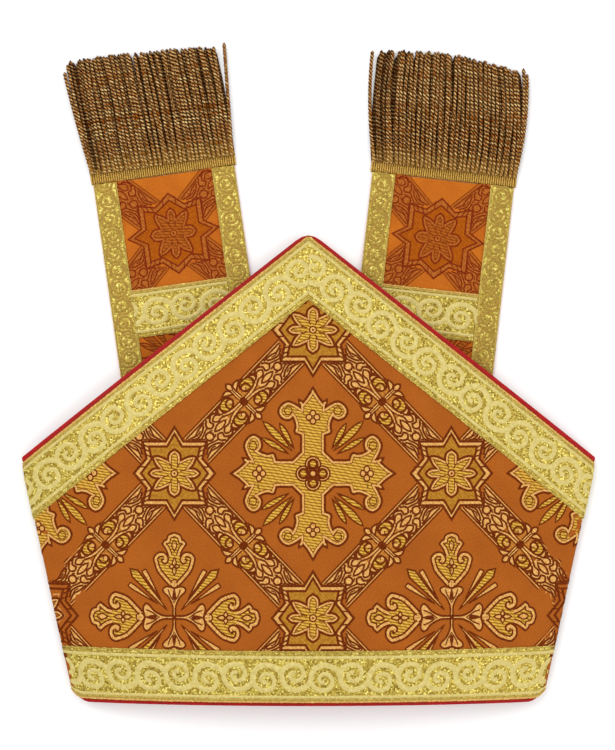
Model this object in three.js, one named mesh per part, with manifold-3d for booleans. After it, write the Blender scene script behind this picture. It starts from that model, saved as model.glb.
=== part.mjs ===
// A bishop's mitre lying folded flat, front up. Its two lappets are sewn inside the back
// base edge, turned under it, and run out past the upper edges, face up, to their fringes.
//
// Millimetres. +X is to the wearer's left as the front is seen, +Y runs from the base edge to
// the peak, and +Z is up. The model is laid out from the middle of the base line, and at the
// end it is moved so that the origin is under the middle of the whole piece.
import * as THREE from 'three';
import { mergeVertices } from 'three/addons/utils/BufferGeometryUtils.js';
import Module from 'manifold-3d';

const wasm = await Module();
wasm.setup();

// ---- Driving dimensions ----

// The shield, front and back
const BASE_HALF = 149.8; // half the base edge, folded flat
const CORNER_HALF = 182.2; // half the width at the side corners
const CORNER_Y = 148.8; // the side corners, above the base line
const PEAK_Y = 294; // the peak, above the base line
const FLARE_ABOVE = 0.55; // widening of the free upper part, per mm above the corners
const FRONT_BASE_BOW = 0.4; // how far the front base edge hangs down in the middle
const BACK_BASE_Y = 1.5; // the back base edge, tucked up a little
const BASE_ROUND = 8; // rounding of the base corners
const TIP_ROUND = 3; // rounding of the peak and the side corners

// Heights above the surface it lies on
const SEAM_Z = 7; // the side folds, where front and back meet
const RISE_AT_BASE = 24; // crown of the front above the side folds, at the base
const RISE_AT_CORNER = 17;
const RISE_AT_PEAK = 6;
const FRONT_CROWN = 0.75; // smaller is flatter on top and rounder at the folds
const BACK_CROWN = 10; // larger is flatter underneath and tighter at the folds

// Cloth
const GAP = 0.3; // clear of each neighbour
const PANEL = 2; // brocade on its stiffening
const GALLOON = 1;
const LINING = 1;
const WIDE_GALLOON = 32; // on the upper edges
const BASE_GALLOON_TOP = 33.2; // upper edge of the base galloon, at the side folds
const GALLOON_TOP_BOW = 1.3; // bow of the base galloon's upper edge
const LINING_RIM = 2.4; // front lining below the base edge, at the sides
const LINING_BOW = 0.4;
const GUSSET_RIM = 3.4; // gusset proud of the upper edges
const RIM_TAPER = 19; // where that rim runs out, along the edge from the peak

// Lappets
const LAPPET_WIDTH = 91;
const LAPPET = 1.6; // brocade with its red backing
const LAPPET_TRIM_WIDTH = 14.8;
const ROOT_DEPTH = 14; // sewn inside the hollow, from the fold
const FOLD_Y = 2.2; // centre of the fold round the back base edge
const TRIM_START_Y = 9.5; // the galloons begin above the fold
const WINDOW_LENGTH = 70; // brocade between the heading and the cross band
const CROSS_BAND = 30.5;
const HEADING_LENGTH = 10;
const HEADING_PROUD = 1.2; // heading wider than the lappet, each side
const HEADING_THICKNESS = 3.4;
const FRINGE_THICKNESS = 6;

// Each lappet: where it leaves the base, its turn to the left in degrees, its length from the
// base line to the heading, and the outline of its strands, across and past that length
const LAPPETS = [
  {
    side: 'left',
    rootX: -45,
    tilt: 8.1,
    length: 336.3,
    strands: {
      midLeft: -49.6, midRight: 46.4, tipLeft: -51.7, tipRight: 43.3, reachLeft: 75.7, reachRight: 79,
    },
  },
  {
    side: 'right',
    rootX: 49,
    tilt: -6.4,
    length: 332,
    strands: {
      midLeft: -52.6, midRight: 50, tipLeft: -51.5, tipRight: 40.7, reachLeft: 77.9, reachRight: 77.4,
    },
  },
];

// The back is lifted by the lappets under it, and settles beside them
const LIFT = LAPPET + GALLOON + 2 * GAP;
const LIFT_MARGIN = 14; // full lift this far past a lappet's edge
const LIFT_SLOPE = 26; // then down to nothing over this width
const BACK_Z = GALLOON + GAP; // face of the back panel, where it isn't lifted

// ---- Materials ----

const brocade = { color: 0xb8600f, roughness: 0.55, metalness: 0.1 };
const redCloth = { color: 0xb01010, roughness: 0.6, metalness: 0 };
const gold = { color: 0xcdb860, roughness: 0.4, metalness: 0.5 };
const bullion = { color: 0x8a5c1e, roughness: 0.4, metalness: 0.5 };

// ---- The shield's surfaces ----

const sideSlope = (CORNER_HALF - BASE_HALF) / CORNER_Y;
const peakSlope = (PEAK_Y - CORNER_Y) / CORNER_HALF;
const peakCos = Math.cos(Math.atan(peakSlope));

function halfWidth(y) {
  return y < CORNER_Y ? BASE_HALF + sideSlope * y : CORNER_HALF + FLARE_ABOVE * (y - CORNER_Y);
}

function rise(y) {
  if (y < CORNER_Y) {
    return THREE.MathUtils.lerp(RISE_AT_BASE, RISE_AT_CORNER, y / CORNER_Y);
  }
  return THREE.MathUtils.mapLinear(y, CORNER_Y, PEAK_Y, RISE_AT_CORNER, RISE_AT_PEAK);
}

// How far the cloth over a lappet is lifted at (x, y): LIFT above it, easing to 0 beside it
function lift(x, y) {
  let most = 0;
  for (const { rootX, tilt } of LAPPETS) {
    const angle = THREE.MathUtils.degToRad(tilt);
    const across = Math.abs((x - rootX) * Math.cos(angle) + y * Math.sin(angle));
    const past = across - LAPPET_WIDTH / 2 - LIFT_MARGIN;
    most = Math.max(most, 1 - THREE.MathUtils.smoothstep(past, 0, LIFT_SLOPE));
  }
  return LIFT * most;
}

// A point of the front, across from -1 to 1, `out` mm outside the panel's face
function frontPoint(across, y, out) {
  const crown = Math.pow(1 - across * across, FRONT_CROWN);
  const z = SEAM_Z + GAP / 2 + (rise(y) + out) * crown;
  return [(halfWidth(y) + out) * across, y, z];
}

// The same for the back, whose outside faces down
function backPoint(across, y, out) {
  const x = (halfWidth(y) + out) * across;
  const seam = SEAM_Z - GAP / 2;
  const fall = seam - BACK_Z - lift(x, y) + out;
  return [x, y, seam - fall * Math.sqrt(1 - Math.pow(Math.abs(across), BACK_CROWN))];
}

// ---- Solids ----

function solidOf(geometry) {
  const plain = geometry.clone();
  plain.deleteAttribute('normal');
  plain.deleteAttribute('uv');
  const merged = mergeVertices(plain, 1e-4);
  return new wasm.Manifold(new wasm.Mesh({
    numProp: 3,
    vertProperties: new Float32Array(merged.attributes.position.array),
    triVerts: new Uint32Array(merged.index.array),
  }));
}

function geometryOf(solid) {
  const mesh = solid.getMesh();
  const geometry = new THREE.BufferGeometry();
  geometry.setAttribute('position', new THREE.BufferAttribute(mesh.vertProperties, 3));
  geometry.setIndex(new THREE.BufferAttribute(mesh.triVerts, 1));
  geometry.computeVertexNormals();
  return geometry;
}

// A closed body between two grids of points, `upper` above `lower`
function gridBody(across, along, upper, lower) {
  const nu = across.length;
  const nv = along.length;
  const points = [];
  for (const surface of [upper, lower]) {
    for (const v of along) {
      for (const u of across) {
        points.push(...surface(u, v));
      }
    }
  }
  const faces = [];
  const top = (i, j) => j * nu + i;
  const bottom = (i, j) => nu * nv + j * nu + i;
  const quad = (a, b, c, d) => faces.push(a, b, c, a, c, d);
  for (let j = 0; j < nv - 1; j += 1) {
    for (let i = 0; i < nu - 1; i += 1) {
      quad(top(i, j), top(i + 1, j), top(i + 1, j + 1), top(i, j + 1));
      quad(bottom(i, j), bottom(i, j + 1), bottom(i + 1, j + 1), bottom(i + 1, j));
    }
    quad(top(0, j), top(0, j + 1), bottom(0, j + 1), bottom(0, j));
    quad(top(nu - 1, j + 1), top(nu - 1, j), bottom(nu - 1, j), bottom(nu - 1, j + 1));
  }
  for (let i = 0; i < nu - 1; i += 1) {
    quad(top(i + 1, 0), top(i, 0), bottom(i, 0), bottom(i + 1, 0));
    quad(top(i, nv - 1), top(i + 1, nv - 1), bottom(i + 1, nv - 1), bottom(i, nv - 1));
  }
  const geometry = new THREE.BufferGeometry();
  geometry.setAttribute('position', new THREE.Float32BufferAttribute(points, 3));
  geometry.setIndex(faces);
  return solidOf(geometry);
}

// Stations across the shield, closer together towards the side folds
function stations(count) {
  const list = [];
  for (let i = -count; i <= count; i += 1) {
    list.push(Math.sin((i / count) * Math.PI / 2));
  }
  return list;
}

const across = stations(15);
const rows = [-8, 12, 32, 60, 90, 122, CORNER_Y, 164, 178, 196, 218, 244, 272, 302];
const rowsAbove = rows.filter((y) => y > CORNER_Y);

// A layer of the front or back, from `from` to `to` mm outside the panel's face
function frontLayer(from, to) {
  const upper = (u, y) => frontPoint(u, y, to);
  const lower = (u, y) => frontPoint(u, y, from);
  return gridBody(across, rows, upper, lower);
}

function backLayer(from, to) {
  const upper = (u, y) => backPoint(u, y, from);
  const lower = (u, y) => backPoint(u, y, to);
  return gridBody(across, rows, upper, lower);
}

// Everything between front and back, `inside` mm in from both faces
function between(inside, along) {
  const upper = (u, y) => frontPoint(u, y, -inside);
  const lower = (u, y) => backPoint(u, y, -inside);
  return gridBody(across, along, upper, lower);
}

// ---- Cutting outlines, in plan ----

function column(shape) {
  const depth = 80;
  const geometry = new THREE.ExtrudeGeometry(shape, {
    depth,
    bevelEnabled: false,
    curveSegments: 5,
  });
  geometry.translate(0, 0, -depth / 4);
  return solidOf(geometry);
}

// A five-sided outline with rounded corners: `side` mm outside the side folds, `edge` mm
// outside the upper edges, base edge at `baseY` with its middle `bow` mm lower
function shieldOutline({ side = 2, edge = 0, baseY = 0, bow = 0 }) {
  const slope = FLARE_ABOVE;
  const top = PEAK_Y + edge / peakCos;
  const cornerX = CORNER_HALF + side + edge * slope;
  const cornerY = top - peakSlope * cornerX;
  const baseX = halfWidth(baseY) + side;
  const corners = [
    { at: new THREE.Vector2(baseX, baseY), round: BASE_ROUND + side },
    { at: new THREE.Vector2(cornerX, cornerY), round: TIP_ROUND },
    { at: new THREE.Vector2(0, top), round: TIP_ROUND },
    { at: new THREE.Vector2(-cornerX, cornerY), round: TIP_ROUND },
    { at: new THREE.Vector2(-baseX, baseY), round: BASE_ROUND + side },
  ];
  const shape = new THREE.Shape();
  corners.forEach(({ at, round }, i) => {
    const before = corners[(i + 4) % 5].at;
    const after = corners[(i + 1) % 5].at;
    const start = at.clone().add(before.clone().sub(at).setLength(round));
    const end = at.clone().add(after.clone().sub(at).setLength(round));
    if (i === 0) {
      shape.moveTo(start.x, start.y);
    } else {
      shape.lineTo(start.x, start.y);
    }
    shape.quadraticCurveTo(at.x, at.y, end.x, end.y);
  });
  shape.quadraticCurveTo(0, baseY - 2 * bow, baseX - BASE_ROUND - side, baseY);
  return shape;
}

function polygon(points) {
  return new THREE.Shape(points.map(([x, y]) => new THREE.Vector2(x, y)));
}

// ---- Pieces ----

const mitre = new THREE.Group();

function addPiece(name, geometry, look, parent = mitre) {
  const mesh = new THREE.Mesh(geometry, new THREE.MeshStandardMaterial(look));
  mesh.name = name;
  parent.add(mesh);
}

// Front: panel, lining and galloons
const frontEdge = column(shieldOutline({ bow: FRONT_BASE_BOW }));
addPiece('front_panel', geometryOf(frontLayer(-PANEL, 0).intersect(frontEdge)), brocade);

const liningTop = CORNER_Y - 2;
const liningFace = PANEL + GAP;
const belowGusset = (baseY, bow) => column(shieldOutline({ baseY, bow })).intersect(
  column(polygon([[-300, -40], [300, -40], [300, liningTop], [-300, liningTop]])),
);
const frontLining = frontLayer(-liningFace - LINING, -liningFace)
  .intersect(belowGusset(-LINING_RIM, LINING_BOW));
addPiece('front_lining', geometryOf(frontLining), redCloth);

// The part of an outline covered by the base galloon, and by the galloon of one upper edge
const baseBand = new THREE.Shape();
baseBand.moveTo(-300, -40);
baseBand.lineTo(300, -40);
baseBand.lineTo(300, BASE_GALLOON_TOP);
baseBand.lineTo(BASE_HALF, BASE_GALLOON_TOP);
baseBand.quadraticCurveTo(0, BASE_GALLOON_TOP - 2 * GALLOON_TOP_BOW, -BASE_HALF, BASE_GALLOON_TOP);
baseBand.lineTo(-300, BASE_GALLOON_TOP);

const insideEdges = column(shieldOutline({ side: 60, edge: -WIDE_GALLOON, baseY: -30 }));
const halfPlane = (sign) => column(polygon(
  [[0, 40], [300, 40], [300, 320], [0, 320]].map(([x, y]) => [sign * (x + GAP / 2), y]),
));
const halves = { left: halfPlane(-1), right: halfPlane(1) };

function addGalloons(face, layer, outline) {
  const whole = layer.intersect(outline);
  addPiece(`${face}_base_trim`, geometryOf(whole.intersect(column(baseBand))), gold);
  for (const [side, half] of Object.entries(halves)) {
    const strip = whole.subtract(insideEdges).intersect(half);
    addPiece(`${face}_trim_${side}`, geometryOf(strip), gold);
  }
}

addGalloons('front', frontLayer(GAP, GAP + GALLOON), frontEdge);

// Back: the same pieces, face down, with a base edge a little higher
const backEdge = column(shieldOutline({ baseY: BACK_BASE_Y }));
addPiece('back_panel', geometryOf(backLayer(-PANEL, 0).intersect(backEdge)), brocade);
const backLining = backLayer(-liningFace - LINING, -liningFace)
  .intersect(belowGusset(BACK_BASE_Y, 0));
addPiece('back_lining', geometryOf(backLining), redCloth);
addGalloons('back', backLayer(GAP, GAP + GALLOON), backEdge);

// Gusset: one sheet under each peak, joined along the bottom, open along the upper edges
const rimOutline = shieldOutline({ side: 20, edge: GUSSET_RIM });
const taperX = RIM_TAPER * peakCos;
const taperY = PEAK_Y - peakSlope * taperX + GUSSET_RIM / peakCos;
const peakTaper = polygon([
  [-300, 0], [300, 0], [300, PEAK_Y], [taperX, taperY],
  [0, PEAK_Y], [-taperX, taperY], [-300, PEAK_Y],
]);
const gussetBody = between(liningFace, [CORNER_Y - 1, ...rowsAbove])
  .intersect(column(rimOutline))
  .intersect(column(peakTaper));
const trough = between(liningFace + LINING, [CORNER_Y + 1, ...rowsAbove]);
addPiece('gusset', geometryOf(gussetBody.subtract(trough)), redCloth);

// ---- Lappets ----

// The cloth of a lappet seen from its side: along the ground, round the back base edge, and
// back into the hollow as far as its root
function lappetProfile(reach) {
  const hollowZ = BACK_Z + LIFT + PANEL + LINING + 2 * GAP;
  const outer = (hollowZ + LAPPET) / 2;
  const inner = outer - LAPPET;
  const profile = new THREE.Shape();
  profile.moveTo(reach, 0);
  profile.lineTo(reach, LAPPET);
  profile.lineTo(FOLD_Y, LAPPET);
  profile.absarc(FOLD_Y, outer, inner, -Math.PI / 2, -3 * Math.PI / 2, true);
  profile.lineTo(FOLD_Y + ROOT_DEPTH, hollowZ);
  profile.lineTo(FOLD_Y + ROOT_DEPTH, hollowZ + LAPPET);
  profile.lineTo(FOLD_Y, hollowZ + LAPPET);
  profile.absarc(FOLD_Y, outer, outer, Math.PI / 2, 3 * Math.PI / 2, false);
  return profile;
}

// The profile carried across, then trimmed to the lappet's outline in plan
function lappetCloth({ rootX, tilt, length }) {
  const width = 400;
  const sheet = new THREE.ExtrudeGeometry(lappetProfile(length + 20), {
    depth: width,
    bevelEnabled: false,
    curveSegments: 10,
  });
  sheet.applyMatrix4(new THREE.Matrix4().makeBasis(
    new THREE.Vector3(0, 1, 0),
    new THREE.Vector3(0, 0, 1),
    new THREE.Vector3(1, 0, 0),
  ));
  sheet.translate(-width / 2, 0, 0);
  const half = LAPPET_WIDTH / 2;
  const plan = polygon([[-half, -30], [half, -30], [half, length], [-half, length]]);
  const cutter = new THREE.ExtrudeGeometry(plan, { depth: 60, bevelEnabled: false });
  cutter.translate(0, 0, -20);
  cutter.rotateZ(THREE.MathUtils.degToRad(tilt));
  cutter.translate(rootX, 0, 0);
  return solidOf(sheet).intersect(solidOf(cutter));
}

function box(x0, x1, y0, y1, z0, z1) {
  const geometry = new THREE.BoxGeometry(x1 - x0, y1 - y0, z1 - z0);
  return geometry.translate((x0 + x1) / 2, (y0 + y1) / 2, (z0 + z1) / 2);
}

// The outer form of the hanging strands, in the lappet's own frame
function fringeBody(start, length, strands) {
  const half = LAPPET_WIDTH / 2 + HEADING_PROUD;
  const { midLeft, midRight, tipLeft, tipRight, reachLeft, reachRight } = strands;
  const shape = new THREE.Shape();
  shape.moveTo(-half, start);
  shape.lineTo(half, start);
  shape.quadraticCurveTo(midRight, length + reachRight / 2, tipRight, length + reachRight - 5);
  shape.quadraticCurveTo(tipRight, length + reachRight, tipRight - 5, length + reachRight);
  shape.lineTo(tipLeft + 5, length + reachLeft);
  shape.quadraticCurveTo(tipLeft, length + reachLeft, tipLeft, length + reachLeft - 5);
  shape.quadraticCurveTo(midLeft, length + reachLeft / 2, -half, start);
  return new THREE.ExtrudeGeometry(shape, {
    depth: FRINGE_THICKNESS,
    bevelEnabled: false,
    curveSegments: 6,
  });
}

for (const lappet of LAPPETS) {
  const { side, rootX, tilt, length, strands } = lappet;
  addPiece(`${side}_lappet`, geometryOf(lappetCloth(lappet)), brocade);

  const hanging = new THREE.Group();
  hanging.position.set(rootX, 0, 0);
  hanging.rotation.z = THREE.MathUtils.degToRad(tilt);
  mitre.add(hanging);

  const half = LAPPET_WIDTH / 2;
  const inner = half - LAPPET_TRIM_WIDTH;
  const low = LAPPET + GAP;
  const high = low + GALLOON;
  const outward = side === 'left' ? -1 : 1;
  const strip = (x0, x1) => box(Math.min(x0, x1), Math.max(x0, x1), TRIM_START_Y, length, low, high);
  const bandEnd = length - WINDOW_LENGTH;
  const headingY = length + GAP;
  const fringeY = headingY + HEADING_LENGTH + GAP;
  addPiece(`${side}_outer_trim`, strip(outward * inner, outward * half), gold, hanging);
  addPiece(`${side}_inner_trim`, strip(-outward * inner, -outward * half), gold, hanging);
  const band = box(-inner + GAP, inner - GAP, bandEnd - CROSS_BAND, bandEnd, low, high);
  addPiece(`${side}_cross_trim`, band, gold, hanging);
  const wide = half + HEADING_PROUD;
  const heading = box(-wide, wide, headingY, headingY + HEADING_LENGTH, 0, HEADING_THICKNESS);
  addPiece(`${side}_fringe_heading`, heading, bullion, hanging);
  addPiece(`${side}_fringe`, fringeBody(fringeY, length, strands), bullion, hanging);
}

// ---- Origin: under the middle of the whole piece ----

const bounds = new THREE.Box3().setFromObject(mitre, true);
const middle = bounds.getCenter(new THREE.Vector3());
mitre.position.set(-middle.x, -middle.y, -bounds.min.z);

export default mitre;
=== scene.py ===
"""A bishop's mitre lying folded flat, front up, with its two lappets running out past the peak.

Shapes are worked out in millimetres from the middle of the base line: x to the wearer's left,
y from the base edge to the peak, z up. make_piece moves them into the frame, in metres.
"""

import math

import bpy
import numpy as np
from mathutils import Matrix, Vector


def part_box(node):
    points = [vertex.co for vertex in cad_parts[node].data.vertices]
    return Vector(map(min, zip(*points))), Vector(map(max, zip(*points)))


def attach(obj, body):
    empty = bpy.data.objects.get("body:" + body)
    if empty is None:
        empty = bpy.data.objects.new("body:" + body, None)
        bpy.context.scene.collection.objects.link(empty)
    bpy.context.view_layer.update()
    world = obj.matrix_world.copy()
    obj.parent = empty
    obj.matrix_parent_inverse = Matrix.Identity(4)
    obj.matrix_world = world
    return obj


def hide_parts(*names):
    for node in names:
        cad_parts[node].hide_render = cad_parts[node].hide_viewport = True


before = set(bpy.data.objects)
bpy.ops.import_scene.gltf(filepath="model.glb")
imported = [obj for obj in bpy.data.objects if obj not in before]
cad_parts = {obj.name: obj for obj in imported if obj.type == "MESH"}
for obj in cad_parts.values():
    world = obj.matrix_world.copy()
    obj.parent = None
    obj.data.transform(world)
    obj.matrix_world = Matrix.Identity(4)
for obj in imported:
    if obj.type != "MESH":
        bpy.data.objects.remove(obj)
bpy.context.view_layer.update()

# ---------------------------------------------------------------------------
# Front panel: orange silk brocade on a stiff interlining, 2 mm thick together. It is bowed up
# over the hollow between its side folds, and it is cut with five sides and a peak.
# ---------------------------------------------------------------------------

BASE_HALF = 149.8
CORNER_HALF = 182.2
CORNER_Y = 148.8
PEAK_Y = 294.0
PEAK_TOP = 293.05  # the rounded tip of the peak
FLARE_ABOVE = 0.55
CORNER_ROUND = 1.0
FRONT_BASE_BOW = 0.4
BASE_ROUND = 8.0
SEAM_Z = 7.0
GAP = 0.3
PANEL = 2.0
RISE_AT_BASE = 24.0
RISE_AT_CORNER = 17.0
RISE_AT_PEAK = 6.0
FRONT_CROWN = 0.75
BACK_BASE_Y = 1.5
BASE_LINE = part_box("back_panel")[0].y * 1000 - BACK_BASE_Y
SIDE_SLOPE = (CORNER_HALF - BASE_HALF) / CORNER_Y
PEAK_SLOPE = (PEAK_Y - CORNER_Y) / CORNER_HALF
PEAK_COS = math.cos(math.atan(PEAK_SLOPE))
PEAK_SIN = math.sin(math.atan(PEAK_SLOPE))


def half_width(y):
    """Half the shield's width: straight from base to corner, then a shallower flare above, less
    a rounding of the corner that falls off as a bell curve over 5 mm."""
    straight = np.where(
        y < CORNER_Y,
        BASE_HALF + SIDE_SLOPE * y,
        CORNER_HALF + FLARE_ABOVE * (y - CORNER_Y),
    )
    return straight - CORNER_ROUND * np.exp(-(((y - CORNER_Y) / 5) ** 2))


def on_front(x, y, out):
    """The front's face: (1 - t^2)^0.75 times its rise, with t the share of the half width."""
    wide = half_width(y)
    t = np.clip(x / wide, -1, 1)
    stations = [0, CORNER_Y, PEAK_Y]
    rise = np.interp(y, stations, [RISE_AT_BASE, RISE_AT_CORNER, RISE_AT_PEAK])
    z = SEAM_Z + GAP / 2 + (rise + out) * (1 - t * t) ** FRONT_CROWN
    return np.stack(np.broadcast_arrays((wide + out) * t, y, z), -1)


def make_piece(name, points, faces, flat, material):
    """A mesh from points in mm, lists of faces, and each point's place on the flat cloth, in mm."""
    mesh = bpy.data.meshes.new(name)
    placed = (np.asarray(points, float) + [0, BASE_LINE, 0]) / 1000
    mesh.from_pydata(placed.tolist(), [], [f for group in faces for f in group.tolist()])
    corner_point = np.empty(len(mesh.loops), int)
    mesh.loops.foreach_get("vertex_index", corner_point)
    cloth = mesh.uv_layers.new(name="cloth")
    cloth.data.foreach_set("uv", (np.asarray(flat, float)[corner_point] / 1000).ravel())
    mesh.shade_smooth()
    mesh.set_sharp_from_angle(angle=math.radians(50))
    mesh.materials.append(material)
    piece = bpy.data.objects.new(name, mesh)
    bpy.context.scene.collection.objects.link(piece)
    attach(piece, "root")
    return piece


def cell_faces(rows, columns, around=False):
    """Quads of a grid of rows by columns, joined round from the last column if `around`."""
    index = np.arange(rows * columns).reshape(rows, columns)
    if around:
        index = np.hstack([index, index[:, :1]])
    corners = [index[:-1, :-1], index[:-1, 1:], index[1:, 1:], index[1:, :-1]]
    return np.stack(corners, -1).reshape(-1, 4)


def make_layer(name, face, under, flat, material):
    """A closed layer of cloth: its outer grid, its inner grid, and a wall round the rim."""
    rows, columns = face.shape[:2]
    count = rows * columns
    quads = cell_faces(rows, columns)
    edges = face[1:, :-1] - face[:-1, 1:], face[1:, 1:] - face[:-1, :-1]
    facing = (np.cross(edges[1], edges[0]) * (face - under)[:-1, :-1]).sum()
    index = np.arange(count).reshape(rows, columns)
    rim = [index[0], index[1:, -1], index[-1, -2::-1], index[-2:0:-1, 0]]
    rim = np.concatenate(rim)
    after = np.roll(rim, -1)
    wall = np.stack([rim, rim + count, after + count, after], -1)
    faces = np.vstack([quads, quads[:, ::-1] + count, wall])
    if facing < 0:
        faces = faces[:, ::-1]
    points = np.vstack([face.reshape(-1, 3), under.reshape(-1, 3)])
    return make_piece(name, points, [faces], np.tile(flat.reshape(-1, 2), (2, 1)), material)


LIGHT_LEVEL = 1.16  # what the lights throw back from a white cloth


def tint(red, green, blue):
    """A colour given as 0 to 255 on a screen, as the shader's linear values under these lights."""
    screen = np.array([red, green, blue]) / 255
    linear = np.where(screen <= 0.04045, screen / 12.92, ((screen + 0.055) / 1.055) ** 2.4)
    return (*(linear / LIGHT_LEVEL).tolist(), 1.0)


def grey(level):
    """A plain grey, given as a linear value."""
    return (level, level, level, 1)


def add_node(material, kind, settings=None, **sockets):
    """A node with its settings, each socket given a value or joined to another node's output."""
    made = material.node_tree.nodes.new(kind)
    for key, value in (settings or {}).items():
        setattr(made, key, value)
    for key, value in sockets.items():
        socket = made.inputs[int(key[1:]) if key[0] == "_" else key]
        if isinstance(value, bpy.types.NodeSocket):
            material.node_tree.links.new(value, socket)
        else:
            socket.default_value = value
    return made


def new_finish(name, roughness, metallic=0.0, specular=0.5):
    """A material with its constant values set, and its place on the flat cloth as a vector."""
    material = bpy.data.materials.new(name)
    material.use_nodes = True
    shader = material.node_tree.nodes["Principled BSDF"]
    shader.inputs["Roughness"].default_value = roughness
    shader.inputs["Metallic"].default_value = metallic
    shader.inputs["Specular IOR Level"].default_value = specular
    return material, add_node(material, "ShaderNodeUVMap", {"uv_map": "cloth"}).outputs["UV"]


def ramp(material, fac, *stops):
    """A colour ramp of (place, colour) stops over a value."""
    made = add_node(material, "ShaderNodeValToRGB", Fac=fac)
    elements = made.color_ramp.elements
    elements[0].position, elements[0].color = stops[0]
    elements[1].position, elements[1].color = stops[-1]
    for place, colour in stops[1:-1]:
        elements.new(place).color = colour
    return made.outputs["Color"]


def blend_colours(material, fac, first, second, way="MIX"):
    """Two colours mixed by a value."""
    made = add_node(material, "ShaderNodeMix", {"data_type": "RGBA", "blend_type": way})
    for key, value in ((0, fac), (6, first), (7, second)):
        if isinstance(value, bpy.types.NodeSocket):
            material.node_tree.links.new(value, made.inputs[key])
        else:
            made.inputs[key].default_value = value
    return made.outputs[2]


def multiplied(material, first, second):
    """Two colours multiplied."""
    return blend_colours(material, 1.0, first, second, "MULTIPLY")


def finish_with(material, colour, height, relief, distance=0.0002):
    """Gives the shader its colour, and the weave's relief as a bump of that height in metres."""
    shader = material.node_tree.nodes["Principled BSDF"]
    material.node_tree.links.new(colour, shader.inputs["Base Color"])
    bump = add_node(
        material, "ShaderNodeBump", Strength=relief, Distance=distance, Height=height
    )
    material.node_tree.links.new(bump.outputs["Normal"], shader.inputs["Normal"])


def noise(material, place, scale, detail=2.0):
    """Soft noise on the cloth, `scale` waves per metre."""
    made = add_node(material, "ShaderNodeTexNoise", Vector=place, Scale=scale, Detail=detail)
    return made.outputs["Fac"]


def mottled(material, place, scale, detail, low, high):
    """A colour drifting between two with soft noise."""
    return ramp(material, noise(material, place, scale, detail), (0.3, low), (0.7, high))


def weave_lines(material, place, scale, direction, distortion=0.0, detail_scale=1.0):
    """Bands of thread across the cloth, wavering by `distortion`."""
    settings = {"wave_type": "BANDS", "bands_direction": direction}
    made = add_node(material, "ShaderNodeTexWave", settings, Vector=place, Scale=scale)
    made.inputs["Distortion"].default_value = distortion
    made.inputs["Detail Scale"].default_value = detail_scale
    return made.outputs["Fac"]


def woven_silk(name, dark, mid, light, roughness=0.7):
    """Plain twill silk: fine slanting threads over broad, soft changes of tone."""
    silk, place = new_finish(name, roughness, specular=0.14)
    broad = noise(silk, place, 38, 3)
    fine = noise(silk, place, 1100, 2)
    twill = weave_lines(silk, place, 430, "DIAGONAL", 0.6, 3)
    tone = ramp(silk, broad, (0.3, dark), (0.5, mid), (0.7, light))
    speck = ramp(silk, fine, (0.3, grey(0.84)), (0.7, grey(1.14)))
    lines = ramp(silk, twill, (0.0, grey(0.93)), (1.0, grey(1.05)))
    colour = multiplied(silk, tone, speck)
    colour = multiplied(silk, colour, lines)
    finish_with(silk, colour, twill, 0.25)
    return silk


def spread(count, gather=1.0):
    """Shares from -1 to 1 across the shield, drawn towards the side folds by `gather`."""
    even = np.linspace(-1, 1, count)
    return (1 - gather) * even + gather * np.sin(even * math.pi / 2)


def shield_plan(base_y, bow, rows, columns):
    """Plan grid of a shield: rows from the base edge to the corner, then on to the peak."""
    t = spread(columns)[None, :]
    corner = np.clip((np.abs(t) - 1 + BASE_ROUND / BASE_HALF) / (BASE_ROUND / BASE_HALF), 0, 1)
    low = base_y - bow * (1 - t * t) + BASE_ROUND * (1 - np.sqrt(1 - corner * corner))
    below = low + (CORNER_Y - low) * np.linspace(0, 1, rows)[:, None]
    above = CORNER_Y + (PEAK_TOP - CORNER_Y) * np.linspace(0, 1, rows)[1:, None]
    y = np.vstack([below, above + 0 * t])
    reach = np.minimum(half_width(y), np.maximum((PEAK_Y - y) / PEAK_SLOPE, 0.2))
    return reach * t, y


orange_silk = woven_silk(
    "orange_silk", tint(162, 83, 12), tint(168, 87, 14), tint(174, 91, 17)
)
x, y = shield_plan(0.0, FRONT_BASE_BOW, 60, 91)
front_panel = make_layer(
    "front_brocade", on_front(x, y, 0), on_front(x, y, -PANEL), np.stack([x, y], -1), orange_silk
)
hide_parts("front_panel")

# ---------------------------------------------------------------------------
# Woven figures of the brocade: eight-pointed stars joined by slanting floral bands, and a
# cross in each diamond between them, in gold and light silk outlined in maroon. The threads
# float on the cloth, so each figure stands a fifth of a millimetre above it.
# ---------------------------------------------------------------------------

FIELD, WEAVE, LINE_FOOT, LINE_TOP = 0.05, 0.10, 0.14, 0.25  # heights above the cloth
FLOAT_SLOPE = math.radians(9)  # the gold floats slant a little across the cloth
REPEAT_X = 174.8
REPEAT_Y = 181.4


def curve(points, closed=False, step=1.3):
    """A smooth line through a few points: on each span a cubic whose end slopes are half the
    chord between the neighbours. A point given twice is a corner."""
    p = np.array(points, float)
    if closed:
        p = np.vstack([p[-1], p, p[:2]])
    else:
        p = np.vstack([2 * p[0] - p[1], p, 2 * p[-1] - p[-2]])
    start, end = p[1:-2], p[2:-1]
    leave, arrive = (p[2:-1] - p[:-3]) / 2, (p[3:] - p[1:-2]) / 2
    length = np.hypot(*(end - start).T)
    count = np.where(length > 1e-6, np.maximum(1, np.ceil(length / step)), 0).astype(int)
    span = np.repeat(np.arange(len(count)), count)
    t = (np.arange(count.sum()) - (np.cumsum(count) - count)[span]) / count[span]
    t = t[:, None]
    line = (2 * t**3 - 3 * t**2 + 1) * start[span] + (3 * t**2 - 2 * t**3) * end[span]
    line += (t**3 - 2 * t**2 + t) * leave[span] + (t**3 - t**2) * arrive[span]
    return line if closed else np.vstack([line, end[-1]])


def corners(points):
    """The same points, each given twice, for straight sides."""
    return np.repeat(np.array(points, float), 2, axis=0)


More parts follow.
